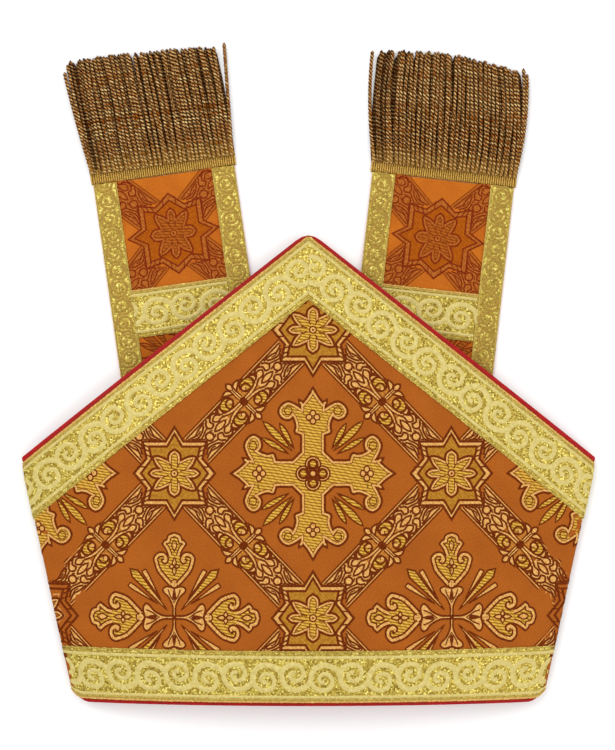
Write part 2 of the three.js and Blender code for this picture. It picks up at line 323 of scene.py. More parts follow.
def four_ways(quarter):
    """A closed outline from its quarter between the y axis and the x axis."""
    q = np.array(quarter, float)
    return np.vstack([q, q[::-1] * [1, -1], q * [-1, -1], q[::-1] * [-1, 1]])


def sideways(line, closed):
    """Unit normals of a line, lengthened at its corners so that an offset keeps its width."""
    if closed:
        before, after = line - np.roll(line, 1, 0), np.roll(line, -1, 0) - line
    else:
        ends = np.vstack([2 * line[0] - line[1], line, 2 * line[-1] - line[-2]])
        before, after = ends[1:-1] - ends[:-2], ends[2:] - ends[1:-1]
    before = before / np.maximum(np.hypot(*before.T), 1e-9)[:, None]
    after = after / np.maximum(np.hypot(*after.T), 1e-9)[:, None]
    middle = before + after
    middle = middle / np.maximum(np.hypot(*middle.T), 1e-6)[:, None]
    reach = np.clip(1 / np.maximum((middle * after).sum(1), 0.1), 1, 1.7)
    return np.stack([-middle[:, 1], middle[:, 0]], -1) * reach[:, None]


def stroke(
    silk, line, width, closed=False, foot=LINE_FOOT, top=LINE_TOP, shift=0.0, columns=3
):
    """A raised thread along a line: its height falls off from `top` as 1 - c^2 to its edges."""
    normal = sideways(line, closed)
    c = np.linspace(-1, 1, columns)
    across = shift + c[None, :] * np.asarray(width, float).reshape(-1, 1) / 2
    place = line[:, None] + normal[:, None] * across[..., None]
    height = np.broadcast_to(foot + (top - foot) * (1 - c * c), place.shape[:2])
    points = np.concatenate([place, height[..., None]], -1)
    quads = cell_faces(columns, len(line), closed)
    return silk, points.transpose(1, 0, 2).reshape(-1, 3), quads, np.zeros((0, 3), int)


def patch(silk, outline, centre=(0, 0), height=WEAVE):
    """A filled shape: rings of its outline drawn in towards a centre, closed there."""
    share = np.array([1, 0.66, 0.33])[:, None, None]
    rings = np.array(centre) + (outline - centre)[None] * share
    count = len(outline)
    level = height - 0.04 * (share == 1) * np.ones((1, count, 1))
    points = np.concatenate([rings, level], -1).reshape(-1, 3)
    points = np.vstack([points, [*centre, height]])
    inner = np.arange(2 * count, 3 * count)
    fan = np.stack([inner, np.roll(inner, -1), np.full(count, 3 * count)], -1)
    return silk, points, cell_faces(3, count, True), fan


def placed(parts, turn=0.0, x=0.0, y=0.0, mirror=1, size=(1, 1)):
    """Parts of a figure scaled, mirrored across x, turned by degrees, and moved."""
    c, s = math.cos(math.radians(turn)), math.sin(math.radians(turn))
    move = np.array([[c, s, 0], [-s, c, 0], [0, 0, 1]])
    scale = [mirror * size[0], size[1], 1]
    return [(silk, p * scale @ move + [x, y, 0], quads, fan) for silk, p, quads, fan in parts]


def leaf(base, tip, width, bend=0.0, silk="peach", line=0.75, full=1.25):
    """A leaf from base to tip, its middle line bowed sideways: sin(pi f^k) wide at share f, where
    k is 2 minus `full`, so a fuller leaf is widest nearer its base."""
    base, tip = np.array(base, float), np.array(tip, float)
    f = np.linspace(0, 1, 9)[:, None]
    along = tip - base
    across = np.array([-along[1], along[0]]) / np.hypot(*along)
    middle = base + along * f + across * bend * np.sin(math.pi * f)
    half = across * width / 2 * np.sin(math.pi * f ** (2 - full)) ** 0.8
    outline = np.vstack([(middle + half), (middle - half)[-2:0:-1]])
    centre = tuple(middle[4, :])
    return [patch(silk, outline, centre), stroke("maroon", outline, line, True)]


def circle(centre, radius, count):
    """Points evenly round a centre."""
    a = np.linspace(0, 2 * math.pi, count, endpoint=False)
    return np.array(centre) + radius * np.stack([np.cos(a), np.sin(a)], -1)


def ring(centre, radius, silk, width):
    """A round thread about a centre."""
    return stroke(silk, circle(centre, radius, 14), width, True)


def disc(centre, radius, silk, height=WEAVE):
    """A filled round."""
    return patch(silk, circle(centre, radius, 12), centre, height)


FOUR_CORNERS = ((1, (1, 1)), (-1, (1, 1)), (1, (1, -1)), (-1, (1, -1)))


def in_each_corner(parts):
    """Parts of one quarter of a figure, mirrored into all four."""
    return [p for mirror, size in FOUR_CORNERS for p in placed(parts, mirror=mirror, size=size)]


def dart(base, tip, width, line, widest):
    """A narrow ray: pointed at its base, widest most of the way along, and pointed at its tip."""
    base, tip = np.array(base, float), np.array(tip, float)
    along = tip - base
    across = np.array([-along[1], along[0]]) / np.hypot(*along) * width / 2
    wide = base + along * widest
    shoulder = base + along * (widest + 0.14)
    sides = [base, base, wide - across, shoulder - across * 0.75, tip]
    sides += [tip, shoulder + across * 0.75, wide + across]
    outline = curve(sides, True, 2)
    return [patch("peach", outline, tuple(wide)), stroke("maroon", outline, line, True)]


def star(fine=1.0):
    """The eight-pointed star: a square crossed by a diamond, with an eight-pointed flower."""
    outer = [(0, 29.2), (5.6, 20.1), (20.1, 20.1), (17.7, 9.3), (25.7, 0)]
    inner = [(0, 25.0), (4.7, 16.9), (16.2, 16.9), (14.5, 8.9), (21.2, 0)]
    outside = curve(corners(four_ways(outer)), True, 2.2)
    inside = curve(corners(four_ways(inner)), True, 2.2)
    parts = [
        patch("peach", outside, height=FIELD),
        patch("star_field", inside, height=WEAVE),
        stroke("maroon", outside, 1.45 * fine, True),
        stroke("maroon", inside, 1.4 * fine, True),
    ]
    ticks = [((14.6, 10.2), (19.4, 12.4)), ((15.2, 13.4), (19.9, 15.8))]
    ticks += [((15.9, 16.2), (20.6, 18.6)), ((18.6, 4.2), (23.4, 4.0))]
    quarter = [stroke("maroon", np.array(tick), 0.9 * fine) for tick in ticks]
    for notch, heart in (((3.9, 8.2), (1.5, 3.2)), ((9.6, 3.0), (3.6, 1.3))):
        quarter.append(stroke("maroon", np.array([notch, heart]), 0.75 * fine, top=0.27))
    parts += in_each_corner(quarter)
    flower = [(0, 15.0), (0, 15.0), (2.9, 13.0), (3.9, 10.6), (3.9, 8.2), (3.9, 8.2)]
    flower += [(8.2, 10.2), (11.6, 10.9), (13.8, 10.3), (13.8, 10.3), (12.8, 7.4), (11.4, 4.9)]
    flower += [(9.6, 3.0), (9.6, 3.0), (12.8, 2.9), (15.0, 1.6), (16.2, 0)]
    flower = curve(four_ways(flower), True, 1.3)
    parts += [
        patch("gold_weave", flower, height=0.13),
        stroke("peach", flower, 1.25, True, shift=-1.15),
        stroke("maroon", flower, 1.6 * fine, True),
        stroke("maroon", flower, 0.55 * fine, True, shift=-2.0),
    ]
    parts += [disc((0, 0), 2.0, "peach", 0.2), ring((0, 0), 2.1, "maroon", 1.0 * fine)]
    return parts + [disc((0, 0), 0.7, "maroon", 0.26)]


def quatrefoil(radius, blob, line):
    """Four light rounds in a cross, each outlined."""
    parts = []
    for x, y in ((0, radius), (radius, 0), (0, -radius), (-radius, 0)):
        parts += [disc((x, y), blob, "peach", 0.16), ring((x, y), blob, "maroon", line)]
    return parts


def great_cross(fine=1.0):
    """The cross with lobed arms: a maroon line, a light line inside it, and woven gold."""
    tip = [(0, 53.4), (2.9, 48.4), (5.4, 45.2), (6.2, 44.2), (6.2, 44.2), (8.4, 45.9)]
    lobe = [(8.4, 45.9), (7.4, 40.8), (7.4, 40.8), (10.9, 43.2), (15.5, 45), (19.6, 42.9)]
    lobe += [(21.4, 39.1), (19.6, 35.4), (16.1, 34.0), (13.5, 35.0), (12.6, 36.2), (12.6, 36.2)]
    side = [(11.2, 32.9), (10.6, 29.4), (11.2, 26.8), (10.6, 25.6), (10.6, 25.6), (7.2, 24.4)]
    waist = [(7.2, 24.4), (7.0, 21.2), (7.1, 17.2), (7.0, 13.6), (7.0, 13.6)]
    half = np.array(tip + lobe + side + waist, float)
    wide = (1.12, 0.955)
    level = (half * wide)[::-1, ::-1]
    outline = curve(four_ways(np.vstack([half, level])), True)
    parts = [
        stroke("maroon", outline, 1.45 * fine, True, shift=0.4),
        stroke("peach", outline, 1.35, True, shift=-0.9),
        stroke("maroon", outline, 0.45 * fine, True, shift=-1.75, top=0.2),
    ]
    both = np.vstack([half, half[::-1] * [-1, 1]])
    arm = [
        patch("gold_weave", curve(both[both[:, 1] > 24], True), (0, 37)),
        patch("gold_weave", curve(both[both[:, 1] < 25], True), (0, 18)),
    ]
    arm += placed(quatrefoil(2.5, 1.8, 0.9 * fine), 0, 0, 35.5)
    for x in (15.6, -15.6):
        arm.append(ring((x, 39.6), 2.4, "maroon", 0.6 * fine))
        arm.append(disc((x, 39.6), 1.7, "gold_weave", 0.15))
    for turn, size in ((0, (1, 1)), (90, wide), (180, (1, 1)), (270, wide)):
        parts += placed(arm, turn, size=size)
    middle = corners(four_ways([(6.8, 14), (13.4, 7.6)]))
    parts.append(patch("gold_weave", curve(middle, True), height=0.09))
    petal = [
        disc((0, 5.9), 4.6, "peach", 0.16),
        ring((0, 5.9), 4.8, "maroon", 1.0 * fine),
        disc((0, 5.9), 3.7, "maroon", 0.2),
        disc((0, 6.1), 1.9, "gold_weave", 0.24),
    ]
    for turn in (0, 90, 180, 270):
        parts += placed(petal, turn)
    parts += [disc((0, 0), 3.4, "maroon", 0.22), disc((0, 0), 1.5, "peach", 0.27)]
    darts = leaf((13.2, 14.4), (31.6, 33.0), 4.6, 0, "gold_weave", 0.95 * fine, 0.65)
    darts += leaf((12.0, 15.8), (21.0, 31.6), 3.4, 0, "gold_weave", 0.95 * fine, 0.65)
    darts += leaf((15.2, 12.4), (32.4, 22.6), 3.4, 0, "gold_weave", 0.95 * fine, 0.65)
    return parts + in_each_corner(darts)


def heart_arm():
    """One arm of the smaller cross: a stem, a tulip, a bud, and a heart under a crown."""
    heart = [(3.2, 20.6), (3.2, 20.6), (8, 25.4), (12, 30), (13.9, 34.8), (14.6, 38.9), (11.6, 42)]
    heart += [(7.6, 42.2), (5.2, 40.2), (4.4, 37.6), (6, 35.2), (8.6, 35.8)]
    crown = [(4.0, 39.8), (4.0, 39.8), (5.4, 43.6), (8.6, 48), (8.6, 48), (7, 50), (5.4, 50.6)]
    crown += [(5.4, 50.6), (4.2, 53.6), (0, 55.2)]
    body = np.array([(0, 20.6)] + heart[:8] + crown, float)
    body = curve(np.vstack([body, body[::-1] * [-1, 1]]), True)
    tulip = [(0.8, 0), (0.9, 6), (2.0, 9.6), (4.2, 13.4), (7.4, 16.2), (8.2, 18.4), (6.0, 20.0)]
    tulip += [(3, 19.8), (0, 18.8)]
    bulb = curve(np.vstack([tulip, np.array(tulip)[::-1] * [-1, 1]]), True)
    parts = [patch("peach", bulb, (0, 14), 0.09), stroke("maroon", bulb, 1.15, True)]
    parts += [patch("gold_weave", body, (0, 36))]
    parts += leaf((0, 9.6), (0, 18.6), 2.2, 0, "maroon", 0.6)
    for side in (1, -1):
        flip = np.array([side, 1])
        band, top = curve(np.array(heart) * flip), curve(np.array(crown) * flip)
        inner_leaf = curve(np.array([(1.0, 11.4), (3.0, 14.4), (4.4, 18.2)]) * flip)
        parts.append(stroke("maroon", inner_leaf, 0.9))
        parts.append(stroke("peach", band, 2.1, shift=side * 1.25))
        parts.append(stroke("maroon", band, 1.45))
        inner = band[: len(band) * 3 // 4]
        parts.append(stroke("maroon", inner, 1.15, shift=side * 2.7, top=0.28))
        parts.append(stroke("peach", top, 1.9, shift=side * 1.2))
        parts.append(stroke("maroon", top, 1.4))
        parts.append(stroke("maroon", top, 0.9, shift=side * 2.5, top=0.28))
        parts.append(disc((side * 8.4, 37.3), 1.3, "maroon", 0.2))
        for y, x in ((26, 9.2), (29.4, 12.0), (33.4, 13.9)):
            tick = np.array([(side * (x - 3.2), y + 1.6), (side * x, y - 0.4)])
            parts.append(stroke("maroon", tick, 0.7))
    parts += [disc((0, 22), 2.4, "peach", 0.2), ring((0, 22), 2.6, "maroon", 1.0)]
    parts.append(stroke("maroon", np.array([(0, 20.6), (0, 23.4)]), 0.7))
    for tip, width in (((0, 38.9), 2.8), ((0, 27.5), 2.8), ((3.8, 33.2), 2.6), ((-3.8, 33.2), 2.6)):
        parts += leaf((0, 33.2), tip, width, 0, "peach", 0.85)
    return parts + leaf((0, 43.2), (0, 50.2), 3.6, 0, "peach", 0.9, 0.8)


def heart_cross():
    """The smaller cross: four heart arms, and three rays in each corner between them."""
    parts = []
    for turn, size in ((0, (0.88, 0.965)), (90, (1.05, 0.98)), (180, (0.88, 0.965))):
        parts += placed(heart_arm(), turn, size=size)
    parts += placed(heart_arm(), 270, size=(1.05, 0.98))
    kite = corners([(4.6, 4.8), (23.1, 29.4), (28.0, 30.4), (26.6, 25.2)])
    kite = curve(kite, True, 2.4)
    rays = [patch("gold_weave", kite, (22, 23)), stroke("maroon", kite, 1.05, True)]
    rays.append(stroke("peach", np.array([(7, 7.4), (15.4, 17.2)]), 1.0))
    rays += dart((8.6, 11.2), (19.4, 29.6), 2.9, 0.9, 0.86)
    rays += dart((10.6, 8.6), (28.6, 20.6), 2.9, 0.9, 0.86)
    return parts + in_each_corner(rays)


def vein(points, width, fine):
    """A light stem between two maroon edges."""
    line = curve(points)
    edge = width / 2 + 0.3
    parts = [stroke("peach", line, width)]
    parts += [stroke("maroon", line, 0.8 * fine, shift=s * edge, top=0.23) for s in (-1, 1)]
    return parts


def floral_band(fine=1.0):
    """A band between two stars: edge lines, a rosette in the middle, and leaves to each end."""
    middle = curve(corners(four_ways([(0, 9.5), (15, 9.5), (15, 0)])), True, 5)
    end_fill = [(14, 9.5), (42.6, 9.5), (34.2, 0), (42.6, -9.5), (14, -9.5)]
    end = [patch("peach", curve(corners(end_fill), True, 5), (27, 0), 0.045)]
    parts = [patch("amber", middle, height=0.03)]
    quarter = [
        stroke("maroon", np.array([(8, 11.4), (26, 11.4), (44, 11.4)]), 0.7 * fine),
        stroke("peach", np.array([(10, 10.5), (26, 10.5), (43, 10.5)]), 0.5),
        stroke("maroon", np.array([(11, 9.6), (26, 9.6), (42.4, 9.6)]), 1.0 * fine),
    ]
    lobe = [(4.5, 6.4), (5.6, 9.3), (9.0, 10.2), (12.7, 9.0), (13.9, 6.2), (12.4, 3.2), (8.8, 2.4)]
    lobe = curve(lobe + [(5.8, 3.6)], True)
    quarter += [patch("gold_weave", lobe, (9.2, 6.2), 0.12)]
    quarter += [stroke("maroon", lobe, 1.5 * fine, True), disc((6.2, 5.4), 1.7, "peach", 0.2)]
    hook = [(9.6, 3.0), (9.8, 5.8), (8.2, 7.8), (5.4, 7.4), (4.6, 5.2), (6.4, 4.2), (7.4, 5.6)]
    quarter.append(stroke("maroon", curve(hook), 1.3 * fine))
    quarter += vein([(0.7, 3), (0.7, 7), (0.5, 10.4)], 0.9, 1.2 * fine)
    quarter += vein([(2.4, 0.7), (8, 1.0), (12.4, 2.1), (17, 4.2)], 1.3, 1.2 * fine)
    for base, tip, width, bend, full in (
        ((1.0, 7.4), (7.4, 11.9), 3.0, 1.5, 0.8),
        ((12.6, 9.9), (13.4, 1.6), 2.6, 2.3, 1.0),
        ((15.4, 3.4), (22.4, 5.6), 4.2, 0.2, 0.6),
    ):
        quarter += leaf(base, tip, width, bend, "peach", 1.15 * fine, full)
    for points, width in (
        ([(15.6, 9.4), (17.2, 7.6), (16.8, 5.6)], 1.1),
        ([(17.2, 7.4), (20.6, 9.0), (24.2, 6.4), (23.4, 4.0), (25.6, 2.6)], 1.3),
        ([(21.4, 8.4), (23.8, 9.2)], 1.0),
        ([(25.8, 2.4), (28.0, 4.6), (27.2, 7.0), (24.8, 8.8)], 1.25),
        ([(41.8, 8.4), (37.0, 6.9), (32.4, 8.2), (27.2, 8.6)], 1.15),
        ([(40.4, 6.6), (36.4, 4.6), (31.8, 5.6), (28.6, 7.6)], 1.25),
        ([(38.0, 4.0), (35.0, 2.8), (31.0, 4.2), (28.4, 5.0)], 1.1),
        ([(38.6, 7.0), (35.0, 6.0), (32.2, 6.9)], 0.8),
        ([(28.6, 2.6), (26.8, 1.4)], 0.9),
        ([(34.0, 0.9), (35.6, 2.4)], 0.9),
    ):
        quarter.append(stroke("maroon", curve(points), width * fine))
    parts += in_each_corner(quarter)
    end += leaf((16.4, 0), (26.2, 0), 3.7, 0, "peach", 1.15 * fine, 1.0)
    end += [disc((30.8, 0), 1.9, "peach", 0.2), ring((30.8, 0), 2.6, "maroon", 1.3 * fine)]
    parts += placed(end) + placed(end, 180)
    finial = leaf((0, 9.6), (0, 15.6), 3.7, 0, "peach", 1.2 * fine, 0.8)
    parts += placed(finial) + placed(finial, 180)
    parts += [disc((0, 0), 2.9, "maroon", 0.2)]
    return parts + placed(quatrefoil(1.9, 0.9, 0.4 * fine), 45)


def place_repeat(offset, tops):
    """The repeat's figures laid out about one diamond: where each stands, how it is turned."""
    dx, dy = REPEAT_X / 2, REPEAT_Y / 2
    slope = math.degrees(math.atan2(dy, dx))
    parts = []
    for i in range(-2, 3):
        for j in range(-1, tops):
            x, y = offset[0] + i * dx, offset[1] + j * dy
            if abs(x) > 200 or (i + j) % 2:
                continue
            parts += placed(star(), 0, x, y)
            for turn, side in ((slope, 1), (180 - slope, -1)):
                band = placed(floral_band(), turn, x + side * dx / 2, y + dy / 2)
                parts += band
    return parts


def lay_figures(name, parts, finishes, surface, inside):
    """Maps flat parts onto a surface, one piece for each silk, keeping the faces inside."""
    u, v = parts[0][1][0, :2]
    here, along, across, out = (
        surface(np.array([u + a]), np.array([v + b]), np.array([c]))[0]
        for a, b, c in ((0, 0, 0), (0.01, 0, 0), (0, 0.01, 0), (0, 0, 0.01))
    )
    handed = np.sign(np.cross(along - here, across - here) @ (out - here))
    pieces = []
    for silk, material in finishes.items():
        points, groups, start = [], ([], []), 0
        for kind, p, quads, fan in parts:
            if kind != silk:
                continue
            c = p[quads]
            area = np.cross(c[:, 2, :2] - c[:, 0, :2], c[:, 3, :2] - c[:, 1, :2]).sum()
            turned = area * handed < 0
            keep = inside(p[:, 0], p[:, 1])
            for group, faces in zip(groups, (quads, fan)):
                faces = faces[keep[faces].any(1)]
                group.append((faces[:, ::-1] if turned else faces) + start)
            points.append(p)
            start += len(p)
        if not points:
            continue
        flat = np.vstack(points)
        faces = [np.vstack(group) for group in groups]
        used = np.zeros(len(flat), bool)
        for group in faces:
            used[group] = True
        number = np.cumsum(used) - 1
        flat = flat[used]
        faces = [number[group] for group in faces]
        if len(flat) == 0:
            continue
        shaped = surface(flat[:, 0], flat[:, 1], flat[:, 2])
        piece = make_piece(f"{name}_{silk}", shaped, faces, flat[:, :2], material)
        pieces.append(piece)
    return pieces


def thread(name, base, light, roughness, metallic, scale=700, relief=0.3):
    """Silk or metal thread seen close: short slanting stitches with a changing glint."""
    silk, place = new_finish(name, roughness, metallic, specular=0.04)
    grain = noise(silk, place, scale, 2)
    stitch = weave_lines(silk, place, 260, "DIAGONAL", 2.0, 2)
    tone = ramp(silk, grain, (0.35, base), (0.65, light))
    shade = ramp(silk, stitch, (0.0, grey(0.86)), (0.6, grey(1.06)))
    finish_with(silk, multiplied(silk, tone, shade), stitch, relief)
    return silk


def gold_floats(name, groove, low, high):
    """Woven gold: wavering rows of floats across the cloth, with darker grooves between."""
    gold, place = new_finish(name, 0.55, 0.15, specular=0.06)
    slope = add_node(gold, "ShaderNodeVectorRotate", Vector=place, Angle=FLOAT_SLOPE)
    rows = weave_lines(gold, slope.outputs["Vector"], 175, "Y", 1.8, 1.0)
    grain = noise(gold, place, 900, 2)
    tone = ramp(gold, rows, (0.0, groove), (0.3, low), (0.75, high))
    dashes = weave_lines(gold, slope.outputs["Vector"], 150, "DIAGONAL", 1.2, 1.0)
    broken = ramp(gold, dashes, (0.0, (0.72, 0.7, 0.62, 1)), (0.45, grey(1.08)))
    tone = blend_colours(gold, 0.8, tone, broken, "MULTIPLY")
    shade = ramp(gold, grain, (0.3, grey(0.84)), (0.7, grey(1.12)))
    finish_with(gold, multiplied(gold, tone, shade), rows, 0.5)
    return gold


front_silks = {
    "maroon": thread("maroon_silk", tint(92, 32, 3), tint(120, 50, 8), 0.65, 0),
    "amber": thread("amber_silk", tint(170, 100, 34), tint(198, 130, 52), 0.65, 0),
    "peach": thread("peach_silk", tint(206, 142, 70), tint(232, 182, 106), 0.55, 0),
    "gold_weave": gold_floats(
        "gold_weave", tint(140, 88, 18), tint(186, 132, 36), tint(220, 174, 72)
    ),
    "star_field": thread(
        "star_field_gold", tint(162, 106, 28), tint(186, 130, 44), 0.55, 0.1, 500
    ),
}
PATTERN_X = 2.8
CROSS_Y = 143.2


def brocade_pattern():
    """The repeat as it falls on the shield, one great cross in the middle."""
    parts = place_repeat((PATTERN_X, CROSS_Y - REPEAT_Y / 2), 3)
    for x in (PATTERN_X - REPEAT_X, PATTERN_X, PATTERN_X + REPEAT_X):
        parts += placed(great_cross(), 0, x, CROSS_Y)
    for x in (PATTERN_X - REPEAT_X / 2, PATTERN_X + REPEAT_X / 2):
        parts += placed(heart_cross(), 0, x, CROSS_Y - REPEAT_Y / 2)
    return parts


def brocade_window(x, y):
    """True between the galloons, and a little way under them."""
    inset = (PEAK_Y - y) * PEAK_COS - np.abs(x) * PEAK_SIN
    return (np.abs(x) < half_width(y) + 1) & (y > 26) & (inset > 28)


pattern = brocade_pattern()
front_figures = lay_figures(
    "front_figure", pattern, front_silks, on_front, brocade_window
)

# ---------------------------------------------------------------------------
# Red linings: thin red satin inside the front and the back, as far up as the gusset. The
# front one is rolled a little below the base edge, where it shows as a red line.
# ---------------------------------------------------------------------------

LINING = 1.0
LINING_RIM = 2.4
LINING_BOW = 0.4
LINING_TOP = CORNER_Y - 2
LINING_FACE = PANEL + GAP
BACK_Z = 1.3
BACK_CROWN = 10
LAPPET = 1.6
LAPPET_WIDTH = 91.0
LIFT = 3.2
LIFT_MARGIN = 14.0
LIFT_SLOPE = 26.0
LAPPETS = {
    "left": {"root": -45.0, "tilt": 8.1, "length": 336.3},
    "right": {"root": 49.0, "tilt": -6.4, "length": 332.0},
}


def on_back(x, y, out):
    """The back's face, which looks down: nearly flat between its folds, and lifted over the
    lappets by a smoothstep of the distance past their edges."""
    wide = half_width(y)
    t = np.clip(x / wide, -1, 1)
    across = (wide + out) * t
    lifted = 0
    for lappet in LAPPETS.values():
        a = math.radians(lappet["tilt"])
        beside = np.abs((across - lappet["root"]) * math.cos(a) + y * math.sin(a))
        past = np.clip((beside - LAPPET_WIDTH / 2 - LIFT_MARGIN) / LIFT_SLOPE, 0, 1)
        lifted = np.maximum(lifted, 1 - past * past * (3 - 2 * past))
    seam = SEAM_Z - GAP / 2
    fall = seam - BACK_Z - LIFT * lifted + out
    z = seam - fall * np.sqrt(1 - np.abs(t) ** BACK_CROWN)
    return np.stack(np.broadcast_arrays(across, y, z), -1)


red_satin, place = new_finish("red_satin", 0.5, specular=0.2)
red_tone = mottled(red_satin, place, 260, 4, tint(156, 6, 6), tint(184, 10, 8))
finish_with(red_satin, red_tone, weave_lines(red_satin, place, 360, "DIAGONAL", 0.5, 2), 0.2)
for side, surface, base_y, bow in (
    ("front", on_front, -LINING_RIM, LINING_BOW),
    ("back", on_back, BACK_BASE_Y, 0.0),
):
    x, y = shield_plan(base_y, bow, 40, 61)
    x, y = x[:40], y[:40]
    y = base_y + (y - base_y) * (LINING_TOP - base_y) / (CORNER_Y - base_y)
    x = np.clip(x, -half_width(y), half_width(y))
    lining = make_layer(
        f"{side}_lining_satin",
        surface(x, y, -LINING_FACE),
        surface(x, y, -LINING_FACE - LINING),
        np.stack([x, y], -1),
        red_satin,
    )
    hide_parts(f"{side}_lining")

# ---------------------------------------------------------------------------
# Back panel: the same brocade, face down, its base edge tucked up a little. It lies over the
# lappets, which lift it, and settles towards the ground beside them.
# ---------------------------------------------------------------------------

x, y = shield_plan(BACK_BASE_Y, 0.0, 60, 91)
back_panel = make_layer(
    "back_brocade", on_back(x, y, 0), on_back(x, y, -PANEL), np.stack([x, y], -1), orange_silk
)
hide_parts("back_panel")
back_figures = lay_figures(
    "back_figure", pattern, front_silks, on_back, brocade_window
)

# ---------------------------------------------------------------------------
# Wide galloon: a 32 mm gold tape with a running scroll in cream satin, between two cords, on a
# glittering metal ground. One length lies along each base edge, and one along each upper edge,
# the two of them meeting in a seam at the peak.
# ---------------------------------------------------------------------------

WIDE_GALLOON = 32.0
BASE_GALLOON_TOP = 33.2
GALLOON_TOP_BOW = 1.3
GROUND = 0.62  # the ground's thickness; the scroll stands to 1 mm
SCROLL_STEP = 18.6  # from one spiral to the next
SCROLL_LINE = 16.3  # the scroll's middle line, from the brocade side
SPIRAL_OFF = 2.25  # the spirals' centres, off that line, one way and the other
BASE_TAPE_HALF = 153.9
SLANT_SCROLL = 250  # the scroll runs past the side folds and is cut there
BASE_SCROLL = 160
RIBBON_WIDTH = 3.4
RIBBON = {"foot": 0.6, "top": 0.95, "columns": 5}
TALL_CORD = {"foot": 0.58, "top": 0.95, "columns": 5}
LOW_CORD = {"foot": 0.5, "top": 0.8}
TAPE_LINES = (  # silk, place across the tape, width, and how it stands
    ("cream", 4.0, 1.9, TALL_CORD),
    ("cream", 28.4, 1.8, TALL_CORD),
    ("old_gold", 30.2, 1.5, TALL_CORD),
    ("old_gold", 0.7, 1.2, LOW_CORD),
    ("old_gold", 2.4, 0.8, LOW_CORD),
    ("rose_gold", 31.4, 1.0, LOW_CORD),
)

glitter, place = new_finish("galloon_glitter", 0.38, 0.55)
# Specks of the metal thread in several golds; the palest of them are painted glints.
cells = add_node(glitter, "ShaderNodeTexVoronoi", Vector=place, Scale=1150)
sparkle = add_node(glitter, "ShaderNodeSeparateColor", Color=cells.outputs["Color"])
ground_tone = ramp(
    glitter,
    sparkle.outputs["Red"],
    (0.0, tint(128, 102, 22)),
    (0.3, tint(168, 140, 42)),
    (0.72, tint(200, 174, 68)),
    (1.0, tint(252, 238, 130)),
)
finish_with(glitter, ground_tone, sparkle.outputs["Green"], 0.8, 0.0003)

cream, place = new_finish("cream_satin", 0.45, 0.15, specular=0.3)
cream_tone = mottled(cream, place, 420, 3, tint(198, 178, 98), tint(222, 204, 128))
finish_with(cream, cream_tone, weave_lines(cream, place, 330, "X", 0.5, 2), 0.35)

old_gold, place = new_finish("old_gold_cord", 0.42, 0.45)
old_tone = mottled(old_gold, place, 620, 3, tint(150, 120, 40), tint(200, 172, 78))
finish_with(old_gold, old_tone, weave_lines(old_gold, place, 300, "X", 1.0, 2), 0.5)

rose_gold = thread("rose_gold_edge", tint(206, 150, 74), tint(240, 190, 120), 0.5, 0.1)
galloon_threads = {"cream": cream, "old_gold": old_gold, "rose_gold": rose_gold}


def scroll_band(start, end, phase, high_first):
    """The tape's raised threads from `start` to `end` along it: a wave that arches over each
    low spiral and under each high one, the spirals branching from it, and the two cords."""
    arch = np.array(
        [(-8.45, -1.8), (-7.6, 2.6), (-4.6, 6.2), (0, 7.7), (5.2, 6.5), (8.6, 4.4)], float
    )
    curl = [(-8.5, 0.6), (-6.9, -3.0), (-3.8, -5.1), (0, -5.7), (3.9, -4.3), (5.5, 0), (3.9, 3.2)]
    curl += [(0, 4.4), (-2.5, 2.8), (-2.9, 0.4), (-1.2, -1.0), (0.5, -0.4)]
    curl = curve(np.array(curl) - [0, SPIRAL_OFF], step=0.9)
    first = math.floor((start - phase) / SCROLL_STEP) - 1
    last = math.ceil((end - phase) / SCROLL_STEP) + 1
    wave, parts = [], []
    for n in range(first, last + 1):
        up = -1 if (n % 2 == 0) == high_first else 1
        middle = np.array([phase + n * SCROLL_STEP, SCROLL_LINE])
        wave.append(arch * [1, up] + middle)
        share = np.linspace(0, 1, len(curl))
        thin = np.interp(share, [0, 0.6, 0.95, 1], [3.2, 2.7, 2.3, 2.8])
        parts.append(stroke("cream", curl * [1, up] + middle, thin, **RIBBON))
    main = curve(np.vstack(wave), step=1.1)
    parts.append(stroke("cream", main, RIBBON_WIDTH, **RIBBON))
    straight = np.arange(start, end, 2.0)
    for silk, across, width, cord in TAPE_LINES:
        line = np.stack([straight, np.full_like(straight, across)], -1)
        parts.append(stroke(silk, line, width, **cord))
    return parts


def slanted_tape(surface, side):
    """Maps (along, from brocade side, height) on an upper edge's tape onto a face. `along` runs
    to the wearer's left and is 0 at the peak."""

    def mapped(s, w, h):
        v = WIDE_GALLOON - w
        x = np.maximum(side * s * PEAK_COS - v * PEAK_SIN, 0.01)
        y = np.minimum(PEAK_Y - side * s * PEAK_SIN - v * PEAK_COS, PEAK_TOP)
        return surface(side * x, y, GAP + h)

    return mapped


def slanted_ends(side):
    """Where a line along the tape runs, between the peak's seam and the side fold."""

    def ends(w):
        v = WIDE_GALLOON - w
        seam = v * PEAK_SLOPE
        fold = BASE_HALF + SIDE_SLOPE * PEAK_Y + v * (PEAK_SIN - SIDE_SLOPE * PEAK_COS)
        fold = fold / (PEAK_COS + SIDE_SLOPE * PEAK_SIN)
        return (seam, fold) if side > 0 else (-fold, -seam)

    return ends


def base_tape(surface, foot_y, bow):
    """Maps (along, from brocade side, height) on a base edge's tape onto a face."""

    def mapped(s, w, h):
        t = np.clip(s / half_width(BASE_GALLOON_TOP), -1, 1)
        top = BASE_GALLOON_TOP - GALLOON_TOP_BOW * (1 - t * t)
        edge = (np.abs(t) - 1 + BASE_ROUND / BASE_HALF) / (BASE_ROUND / BASE_HALF)
        low = foot_y - bow * (1 - t * t)
        low = low + BASE_ROUND * (1 - np.sqrt(1 - np.clip(edge, 0, 1) ** 2))
        y = top + (low - top) * w / WIDE_GALLOON
        return surface(t * half_width(y), y, GAP + h)

    return mapped


